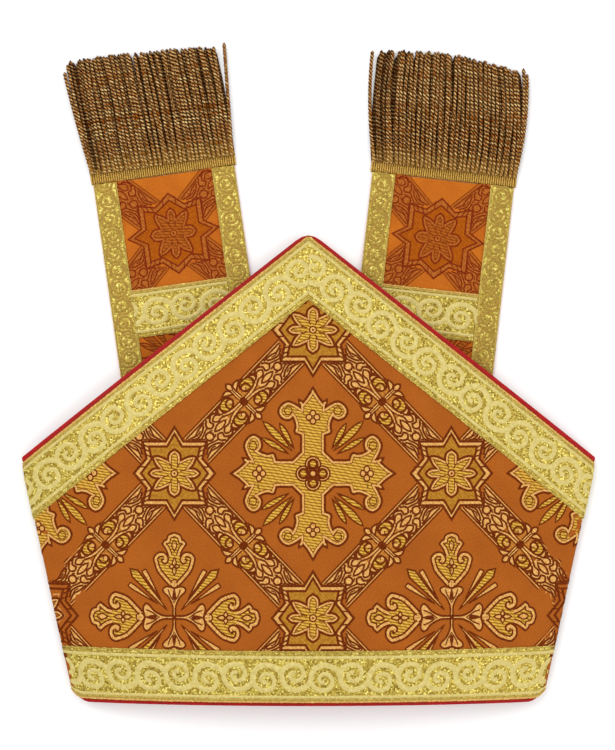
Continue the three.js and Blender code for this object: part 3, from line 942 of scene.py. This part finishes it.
def lay_tape(name, mapped, ends, parts, node, rows):
    """One tape: the glittering ground as a closed layer, and its raised threads on it."""
    w = np.linspace(0, WIDE_GALLOON, 17)[None, :]
    start, end = ends(w)
    s = start + (end - start) * np.linspace(0, 1, rows)[:, None]
    w = np.broadcast_to(w, s.shape)
    flat = np.stack([s, w], -1)
    ground = make_layer(name, mapped(s, w, GROUND), mapped(s, w, 0.0), flat, glitter)
    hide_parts(node)

    def inside(a, b):
        low, high = ends(b)
        return (a > low - 0.5) & (a < high + 0.5)

    return [ground] + lay_figures(name, parts, galloon_threads, mapped, inside)


galloons = {"front": [], "back": []}
for face, surface, foot_y, bow in (
    ("front", on_front, 0.0, FRONT_BASE_BOW),
    ("back", on_back, BACK_BASE_Y, 0.0),
):
    for side, sign, phase in (("left", -1, -18.8), ("right", 1, 16.0)):
        galloons[face] += lay_tape(
            f"{face}_{side}_galloon",
            slanted_tape(surface, sign),
            slanted_ends(sign),
            scroll_band(min(0, sign * SLANT_SCROLL), max(0, sign * SLANT_SCROLL), phase, True),
            f"{face}_trim_{side}",
            120,
        )
    galloons[face] += lay_tape(
        f"{face}_base_galloon",
        base_tape(surface, foot_y, bow),
        lambda w: (0 * w - BASE_TAPE_HALF, 0 * w + BASE_TAPE_HALF),
        scroll_band(-BASE_SCROLL, BASE_SCROLL, -8.8, False),
        f"{face}_base_trim",
        150,
    )

# ---------------------------------------------------------------------------
# Gusset: red satin folded in under both peaks and joined across the middle. Its two rolled
# edges stand 2 to 3.5 mm proud of the galloons, and thin out at the tip.
# ---------------------------------------------------------------------------

GUSSET_RIM = 3.4
RIM_NEAR_PEAK = 2.4
RIM_TAPER = 8.0
GUSSET_HALF = CORNER_HALF + 0.3


def gusset_leaf(surface, depth, shares):
    """Plan columns from the fold at the corner line to the upper edge, on one face."""
    x = (GUSSET_HALF * spread(121, 0.6))[None, :]
    rim = 0.35 + 0.65 * np.clip(np.abs(x) / RIM_TAPER, 0, 1) ** 0.6
    rim = rim * (RIM_NEAR_PEAK + (GUSSET_RIM - RIM_NEAR_PEAK) * np.abs(x) / GUSSET_HALF)
    top = np.minimum(PEAK_Y - PEAK_SLOPE * np.abs(x), PEAK_TOP) + rim / PEAK_COS
    foot = CORNER_Y - 0.6
    y = foot + (top - foot) * shares[:, None]
    shaped = surface(np.broadcast_to(x, y.shape), y, -depth)
    proud = np.clip(y - PEAK_Y + PEAK_SLOPE * np.abs(x) + 0.6, 0, 1)
    shaped[..., 0] *= 1 + proud * depth / CORNER_HALF
    return shaped, np.stack([x + 0 * y, y], -1)


shares = np.linspace(0, 1, 40)
outer_front, flat_front = gusset_leaf(on_front, LINING_FACE, shares)
inner_front, _ = gusset_leaf(on_front, LINING_FACE + LINING, shares)
outer_back, flat_back = gusset_leaf(on_back, LINING_FACE, shares)
inner_back, _ = gusset_leaf(on_back, LINING_FACE + LINING, shares)
gusset = make_layer(
    "gusset_satin",
    np.vstack([outer_front[::-1], outer_back]),
    np.vstack([inner_front[::-1], inner_back]),
    np.vstack([flat_front[::-1], flat_back * [1, -1]]),
    red_satin,
)
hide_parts("gusset")

# ---------------------------------------------------------------------------
# Lappets: two long strips of the brocade backed with red, sewn inside the back base edge and
# turned under it. Narrow galloon runs down both sides, and a wide band crosses each one.
# ---------------------------------------------------------------------------

FOLD_Y = 2.2
FOLD_Z = 4.85
ROOT_DEPTH = 14.0
TRIM_WIDTH = 14.8
TRIM_START = 9.5
WINDOW_LENGTH = 70.0
CROSS_BAND = 30.5
TRIM_INNER = LAPPET_WIDTH / 2 - TRIM_WIDTH
FINE = 0.65  # the lappets' outlines are finer than the mitre's
HIDDEN = 150  # the mitre covers a lappet this far along, so its figures start there
STAR_IN = 37.5  # the star's middle, in from the lappet's end
STAR_OFF = 0.8
BAND_REACH = 62.3
RING_STEP = 11.3
FIRST_RING = 5.6


def lappet_strip(lappet, depth):
    """The strip's path: out of the hollow, round a half circle, and along the ground. `depth`
    is how far in from the outside of the fold, which is the backing's face."""
    turn = math.radians(lappet["tilt"])
    a = np.linspace(-LAPPET_WIDTH / 2, LAPPET_WIDTH / 2, 25)[None, :]
    angle = np.linspace(math.pi / 2, 3 * math.pi / 2, 17)[:, None]
    radius = FOLD_Z - depth
    root_y = FOLD_Y + ROOT_DEPTH * np.linspace(1, 0, 6)[:-1, None]
    last = a * math.sin(turn) + lappet["length"] * math.cos(turn)
    ground_y = FOLD_Y + (last - FOLD_Y) * np.linspace(0, 1, 100)[1:, None]
    y = np.vstack([root_y + 0 * a, FOLD_Y + radius * np.cos(angle) + 0 * a, ground_y])
    up = np.vstack([0 * root_y + radius, radius * np.sin(angle), 0 * ground_y[:, :1] - radius])
    x = lappet["root"] + a * math.cos(turn) - (y - a * math.sin(turn)) * math.tan(turn)
    run, climb = (np.diff(v, axis=0, prepend=v[:1]) for v in (y, up))
    path = np.cumsum(np.hypot(run, climb), 0)
    return np.stack([x, y, FOLD_Z + up + 0 * a], -1), np.stack([a + 0 * y, path], -1)


def on_lappet(lappet, base):
    """Maps (across, along, height) in a lappet's own frame to the ground, `base` mm up."""
    turn = math.radians(lappet["tilt"])

    def mapped(a, along, h):
        x = lappet["root"] + a * math.cos(turn) - along * math.sin(turn)
        y = a * math.sin(turn) + along * math.cos(turn)
        return np.stack(np.broadcast_arrays(x, y, base + h), -1)

    return mapped


lappet_silk = woven_silk(
    "lappet_silk", tint(182, 92, 12), tint(192, 102, 15), tint(200, 110, 19)
)
dark_red = thread("lappet_outline_silk", tint(112, 34, 6), tint(138, 48, 12), 0.65, 0)
# Painted shade: the mitre's woven gold, drawn darker and redder as if it caught less light.
lappet_gold_in_painted_shade = gold_floats(
    "lappet_gold_weave_in_painted_shade", tint(132, 60, 8), tint(156, 78, 14), tint(172, 92, 24)
)
# Painted shade: the lappets' gold and light silks are darker copies of the mitre's ones; the maroon
# outlines keep their own colour.
lappet_silks = {
    "maroon": dark_red,
    "amber": lappet_gold_in_painted_shade,
    "peach": thread("lappet_peach_silk_in_painted_shade", tint(158, 80, 20), tint(184, 106, 42), 0.6, 0),
    "gold_weave": lappet_gold_in_painted_shade,
    "star_field": thread("lappet_field_silk_in_painted_shade", tint(158, 76, 6), tint(174, 88, 12), 0.6, 0, 500),
}
olive_gold, place = new_finish("olive_gold_scroll", 0.42, 0.5)
olive_tone = mottled(olive_gold, place, 700, 3, tint(140, 106, 28), tint(178, 146, 54))
finish_with(olive_gold, olive_tone, noise(olive_gold, place, 900, 2), 0.5)
narrow_threads = {"olive": olive_gold, "old_gold": old_gold}


def narrow_scroll(length):
    """The narrow tape's raised threads: a chain of spiral rings, and its two edges."""
    curl = [(5.4, -3.2), (2.4, -4.9), (-2.2, -4.2), (-4.5, 0), (-2.6, 3.8), (1.6, 4.3), (4.1, 1)]
    curl += [(2.4, -2), (-0.6, -2.2), (-1.6, 0.2), (0.4, 0.8)]
    join = [(5.4, -3.2), (5.2, 1.5), (3, 6), (-3.2, 6.6), (-5.4, 8.1)]
    parts = []
    for n in range(int(length / RING_STEP) + 1):
        side = 1 if n % 2 else -1
        middle = [0, n * RING_STEP + FIRST_RING]
        path = curve(np.array(curl) * [side, 1] + middle, step=0.9)
        parts.append(stroke("olive", path, 1.9, foot=0.6, top=0.92))
        link = curve(np.array(join) * [side, 1])
        parts.append(stroke("olive", link + middle, 1.5, foot=0.6, top=0.9))
    edge = np.arange(0, length, 2.0)
    for place_x in (-6.7, 6.7):
        line = np.stack([np.full_like(edge, place_x), edge], -1)
        parts.append(stroke("old_gold", line, 1.3, foot=0.55, top=0.9))
    return parts


lappet_sets = {}
for side, lappet in LAPPETS.items():
    length = lappet["length"]
    half = LAPPET / 2
    outside, flat = lappet_strip(lappet, 0.0)
    middle, _ = lappet_strip(lappet, half)
    inside, _ = lappet_strip(lappet, LAPPET)
    backing = make_layer(f"{side}_lappet_backing", outside, middle, flat, red_satin)
    strip = make_layer(f"{side}_lappet_brocade", inside, middle, flat, lappet_silk)
    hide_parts(f"{side}_lappet")

    star_y = length - STAR_IN
    parts = placed(star(FINE), 90, STAR_OFF, star_y)
    for turn in (44.3, 135.7, 224.3, 315.7):
        c, s = math.cos(math.radians(turn)), math.sin(math.radians(turn))
        parts += placed(floral_band(FINE), turn, STAR_OFF + BAND_REACH * c, star_y + BAND_REACH * s)
    parts += placed(great_cross(FINE), 90, STAR_OFF, star_y - REPEAT_X / 2)

    def window(a, along, length=length):
        return (np.abs(a) < TRIM_INNER + 2) & (along < length - 0.5) & (along > HIDDEN)

    pieces = lay_figures(
        f"{side}_lappet_figure",
        parts,
        lappet_silks,
        on_lappet(lappet, LAPPET),
        window,
    )

    band_end = length - WINDOW_LENGTH
    low = LAPPET + GAP

    def cross_tape(s, w, h, mapped=on_lappet(lappet, low), band_end=band_end):
        return mapped(s, band_end - CROSS_BAND + w * CROSS_BAND / WIDE_GALLOON, h)

    pieces += lay_tape(
        f"{side}_cross_galloon",
        cross_tape,
        lambda w: (0 * w - TRIM_INNER + GAP, 0 * w + TRIM_INNER - GAP),
        scroll_band(-32, 32, 2.0, True),
        f"{side}_cross_trim",
        40,
    )

    outward = -1 if side == "left" else 1
    for part, out in (("outer", outward), ("inner", -outward)):
        centre = out * (TRIM_INNER + TRIM_WIDTH / 2)
        a = centre + np.linspace(-TRIM_WIDTH / 2, TRIM_WIDTH / 2, 9)[None, :]
        along = np.linspace(TRIM_START, length, 120)[:, None]
        a, along = np.broadcast_arrays(a, along)
        mapped = on_lappet(lappet, low)
        tape = make_layer(
            f"{side}_{part}_galloon",
            mapped(a, along, GROUND),
            mapped(a, along, 0.0),
            np.stack([a, along], -1),
            glitter,
        )
        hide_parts(f"{side}_{part}_trim")
        pieces.append(tape)
        scroll = placed(narrow_scroll(length - HIDDEN), 0, centre, HIDDEN)
        pieces += lay_figures(
            f"{side}_{part}_galloon",
            scroll,
            narrow_threads,
            mapped,
            lambda p, q, length=length: (q < length) & (q > HIDDEN),
        )
    lappet_sets[side] = (strip, backing, pieces)

# ---------------------------------------------------------------------------
# Bullion fringe: a ribbed heading sewn across each lappet's end, and two layers of two-ply
# strands over a flat filling, dark brown silk wound with gold, fanned and of uneven length.
# Their colour carries painted shade in the ply grooves and on the lower layers, and painted
# glints on the ply crests.
# ---------------------------------------------------------------------------

HEADING_LENGTH = 10.0
HEADING_HALF = LAPPET_WIDTH / 2 + 1.2
HEADING_THICKNESS = 3.4
RIB_PITCH = 1.42
HEADING_COLUMNS = 397
STRAND_RADIUS = 1.28
STRAND_TURN = 4.8  # one whole turn of the two plies
STRANDS_PER_LAYER = 34
STRAND_ROOT = 3.5  # how far the strands' roots lap over the heading
FRINGE_OUTLINES = {
    "left": {"middle": (-49.6, 46.4), "tip": (-51.7, 43.3), "reach": (82.4, 78.2), "arch": 1.0},
    "right": {"middle": (-52.6, 50.0), "tip": (-51.5, 40.7), "reach": (78.8, 75.4), "arch": 4.6},
}
# Loose strands at the sides: place at the tip and at the middle, and reach past the lappet's end
STRAYS = {
    "left": ((-53.6, -50.5, 74.0), (-51.0, -49.0, 78.5), (50.0, 47.5, 78.5)),
    "right": ((-54.0, -54.0, 77.0), (43.0, 49.0, 76.5), (45.5, 50.5, 73.0)),
}

bullion, place = new_finish("bullion_strands", 0.6, 0.0, specular=0.02)
solid_place = add_node(bullion, "ShaderNodeTexCoord").outputs["Object"]
plies = weave_lines(bullion, place, 10, "X", 0.0)
stretched = add_node(bullion, "ShaderNodeMapping", Vector=place)
stretched.inputs["Scale"].default_value = (0.3, 1.0, 1.0)
glint = noise(bullion, stretched.outputs["Vector"], 620, 1)
tone_change = noise(bullion, solid_place, 150, 2)
# Painted shade: each ply runs dark in the grooves between plies, lighter brown on its crest.
strand_colour = ramp(
    bullion,
    plies,
    (0.0, tint(24, 8, 0)),
    (0.4, tint(90, 40, 2)),
    (0.9, tint(160, 86, 12)),
)
change = ramp(bullion, tone_change, (0.3, (0.7, 0.68, 0.62, 1)), (0.7, (1.2, 1.2, 1.15, 1)))
strand_colour = multiplied(bullion, strand_colour, change)
height_up = add_node(bullion, "ShaderNodeSeparateXYZ", Vector=place).outputs["Y"]
root_share = add_node(
    bullion,
    "ShaderNodeMapRange",
    Value=height_up,
    **{"From Min": 0.002, "From Max": 0.014, "To Min": 0.6, "To Max": 0.0},
)
strand_colour = blend_colours(
    bullion, root_share.outputs["Result"], strand_colour, tint(160, 112, 38)
)
# Painted shade: the lower layer and the flat filling darken by height, as if under the strands.
layer_height = add_node(bullion, "ShaderNodeSeparateXYZ", Vector=solid_place).outputs["Z"]
deep = add_node(
    bullion,
    "ShaderNodeMapRange",
    Value=layer_height,
    **{"From Min": 0.0022, "From Max": 0.0052, "To Min": 0.0, "To Max": 1.0},
)
painted_depth_shade = ramp(bullion, deep.outputs["Result"], (0.0, (0.3, 0.27, 0.22, 1)), (0.8, grey(1)))
strand_colour = multiplied(bullion, strand_colour, painted_depth_shade)
# Painted glints: pale flecks on the ply crests, where the wound gold would catch the light.
painted_glint = ramp(bullion, glint, (0.5, grey(0)), (0.57, grey(1)))
crest = ramp(bullion, plies, (0.5, grey(0.1)), (0.9, grey(1)))
painted_glint = multiplied(bullion, painted_glint, crest)
painted_glint = multiplied(bullion, painted_glint, painted_depth_shade)
strand_colour = blend_colours(bullion, painted_glint, strand_colour, tint(255, 222, 150))
finish_with(bullion, strand_colour, glint, 0.6, 0.0003)

ribbed, place = new_finish("bullion_heading", 0.5, 0.15, specular=0.15)
ribs = weave_lines(ribbed, place, 0.314 / (RIB_PITCH / 1000), "X", 1.2, 1.5)
stitches = noise(ribbed, place, 1200, 2)
# Painted shade in the gaps between the heading's ribs, lighter gold on the ribs themselves.
rib_tone = ramp(
    ribbed, ribs, (0.0, tint(104, 68, 20)), (0.45, tint(168, 126, 48)), (0.9, tint(204, 164, 78))
)
# Painted glints and flecks of painted shade over the stitches.
painted_rib_glint = ramp(ribbed, stitches, (0.36, (0.55, 0.52, 0.5, 1)), (0.64, (1.5, 1.5, 1.4, 1)))
finish_with(
    ribbed, multiplied(ribbed, rib_tone, painted_rib_glint), stitches, 0.6, 0.0003
)

dice = np.random.default_rng(11)


def strand_tubes(centre, radius_at, sides, wound, root, flatness):
    """Round tubes along many centre lines at once, (strand, ring, xyz), closed at both ends. Their
    radius at each ring and angle comes from `radius_at`, and `wound` is the plies' turn there."""
    count, rings = centre.shape[:2]
    angle = np.linspace(0, 2 * math.pi, sides, endpoint=False)
    radius = radius_at(angle[None, None, :] - wound[..., None])
    drift = np.gradient(centre[..., 0], axis=1) / np.gradient(centre[..., 1], axis=1)
    x = centre[..., 0, None] + radius * np.cos(angle)
    y = centre[..., 1, None] - radius * np.cos(angle) * drift[..., None]
    z = centre[..., 2, None] + radius * np.sin(angle) * flatness
    points = np.stack([x, y, z], -1).reshape(count, -1, 3)
    points = np.concatenate([points, centre[:, :1], centre[:, -1:]], 1)
    rim, last = np.arange(sides), (rings - 1) * sides
    foot = np.stack([rim, np.roll(rim, -1), np.full(sides, rings * sides)], -1)
    tip = np.stack([np.roll(rim, -1) + last, rim + last, np.full(sides, rings * sides + 1)], -1)
    offset = (np.arange(count) * points.shape[1])[:, None, None]
    quads = (cell_faces(rings, sides, True)[None] + offset).reshape(-1, 4)[:, ::-1]
    tris = (np.vstack([foot, tip])[None] + offset).reshape(-1, 3)
    turned = (angle[None, None, :] - wound[..., None]) / (2 * math.pi) * 62.8
    flat = np.stack([turned, np.broadcast_to(centre[..., 1:2] - root, turned.shape)], -1)
    flat = flat.reshape(count, -1, 2)
    flat = np.concatenate([flat, flat[:, :1], flat[:, -1:]], 1)
    return points.reshape(-1, 3), quads, tris, flat.reshape(-1, 2)


def strand_layer(root, outline, layer_z, length, share, rings, strays=()):
    """Centre lines from heading to tip. Each lies between the fringe's two edges, which are
    quadratic curves, and sways as two slow sines; `strays` replace the outermost ones."""
    share = share[:, None]
    count = len(share)
    f = np.linspace(0, 1, rings)[None, :]
    start, middle, end = (1 - f) ** 2, 2 * f * (1 - f), f**2
    inner = HEADING_HALF - STRAND_RADIUS - 0.4
    left = -inner * start + (outline["middle"][0] + 1.3) * middle + (outline["tip"][0] + 1.3) * end
    right = inner * start + (outline["middle"][1] - 1.3) * middle + (outline["tip"][1] - 1.3) * end
    across = left * (1 - share) + right * share
    across = across + dice.uniform(-0.8, 0.8, (count, 1)) * np.sin(math.pi * f)
    across = across + dice.uniform(-0.6, 0.6, (count, 1)) * np.sin(2.3 * math.pi * f)
    across = across + dice.normal(0, 0.7, (count, 1)) * f**1.5
    reach = outline["reach"][0] * (1 - share) + outline["reach"][1] * share
    reach = reach + outline["arch"] * 4 * share * (1 - share)
    reach = reach - np.abs(dice.normal(0, 1.9, (count, 1))) - 0.5
    for row, (tip, mid, far) in enumerate(strays):
        side = inner if tip > 0 else -inner
        across[row] = side * start + mid * middle + tip * end
        reach[row] = far
    along = root + (length + reach - root) * f
    bob = dice.uniform(-0.3, 0.3, (count, 1)) * np.sin(dice.uniform(2, 5, (count, 1)) * f + 1)
    z = layer_z + bob - 0.4 * f
    return np.stack(np.broadcast_arrays(across, along, z), -1), f


for side, lappet in LAPPETS.items():
    length = lappet["length"]
    outline = FRINGE_OUTLINES[side]
    mapped = on_lappet(lappet, 0.0)
    strip, backing, pieces = lappet_sets[side]

    a = np.linspace(-HEADING_HALF, HEADING_HALF, HEADING_COLUMNS)[None, :]
    along = np.linspace(length + GAP, length + GAP + HEADING_LENGTH, 14)[:, None]
    arch = np.sqrt(np.clip(1 - ((along - length - GAP) / HEADING_LENGTH * 2 - 1) ** 6, 0, 1))
    rib = np.abs(np.sin(math.pi * a / RIB_PITCH)) ** 0.7
    a, along = np.broadcast_arrays(a, along)
    top = 1.3 + 0.8 * arch + 0.5 * rib * arch
    heading = make_layer(
        f"{side}_heading_ribs",
        mapped(a, along, top),
        mapped(a, along, 0.1 + 0 * top),
        np.stack([a, along], -1),
        ribbed,
    )
    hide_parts(f"{side}_fringe_heading")

    root = length + HEADING_LENGTH - STRAND_ROOT
    points, quads, tris, flats, count = [], [], [], [], 0
    even = np.linspace(0.005, 0.995, STRANDS_PER_LAYER)
    for layer_z, rings, sides, shift, strays in (
        (1.4, 18, 6, 0.0, ()),
        (2.7, 78, 7, 0.5, ()),
        (4.3, 78, 7, 0.0, STRAYS[side]),
    ):
        share = even + (shift + dice.uniform(-0.16, 0.16, len(even))) / len(even)
        share = np.clip(share, 0.004, 0.996)
        centre, f = strand_layer(root, outline, layer_z, length, share, rings, strays)
        wound = 2 * math.pi * (centre[..., 1] / STRAND_TURN + dice.uniform(0, 1, (len(share), 1)))
        rounded = np.sqrt(np.clip(1 - ((f - 0.975) / 0.025).clip(0, 1) ** 2, 0.03, 1))[..., None]
        filling = rings < 30
        twist, body, flatness = (0.0, 1.7, 0.5) if filling else (0.28, 0.86, 1.0)

        def radius_at(turn, rounded=rounded, twist=twist, body=body):
            return STRAND_RADIUS * (body + twist * np.cos(2 * turn)) * rounded

        p, q, t, flat = strand_tubes(centre, radius_at, sides, wound, root, flatness)
        points.append(mapped(p[:, 0], p[:, 1], p[:, 2]))
        quads.append(q + count)
        tris.append(t + count)
        flats.append(flat)
        count += len(p)
    strands = make_piece(
        f"{side}_fringe_strands",
        np.vstack(points),
        [np.vstack(quads), np.vstack(tris)],
        np.vstack(flats),
        bullion,
    )
    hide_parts(f"{side}_fringe")

# ---------------------------------------------------------------------------
# Floor, light and camera: a plain pale floor under soft light from above, seen from straight
# overhead.
# ---------------------------------------------------------------------------

FLOOR_HALF = 3.0
floor_mesh = bpy.data.meshes.new("floor")
floor_mesh.from_pydata(
    [(x, y, -0.0002) for x, y in ((-1, -1), (1, -1), (1, 1), (-1, 1))], [], [(0, 1, 2, 3)]
)
floor_mesh.transform(Matrix.Diagonal((FLOOR_HALF, FLOOR_HALF, 1, 1)))
floor = bpy.data.objects.new("floor", floor_mesh)
bpy.context.scene.collection.objects.link(floor)
paper = bpy.data.materials.new("floor_paper")
paper.use_nodes = True
paper_shader = paper.node_tree.nodes["Principled BSDF"]
paper_shader.inputs["Base Color"].default_value = grey(0.97)
paper_shader.inputs["Roughness"].default_value = 0.9
floor_mesh.materials.append(paper)

world = bpy.data.worlds.new("studio")
bpy.context.scene.world = world
world.use_nodes = True
world.node_tree.nodes["Background"].inputs["Color"].default_value = grey(1)
world.node_tree.nodes["Background"].inputs["Strength"].default_value = 0.96

for name, place, size, power in (
    ("key_light", (-0.5, 0.7, 1.5), 1.2, 9.8),
    ("fill_light", (0.9, -0.5, 1.3), 1.4, 4.6),
):
    lamp = bpy.data.lights.new(name, "AREA")
    lamp.size = size
    lamp.energy = power
    light = bpy.data.objects.new(name, lamp)
    bpy.context.scene.collection.objects.link(light)
    aim = (-Matrix.Translation(place).to_translation()).to_track_quat("-Z", "Y")
    light.matrix_world = Matrix.Translation(place) @ aim.to_matrix().to_4x4()

camera_data = bpy.data.cameras.new("camera")
camera_data.lens = 120
camera_data.sensor_width = 36
camera = bpy.data.objects.new("camera", camera_data)
camera.location = (-0.00064, -0.0016, 1.6)
bpy.context.scene.collection.objects.link(camera)
bpy.context.scene.camera = camera
bpy.context.scene.view_settings.view_transform = "Standard"
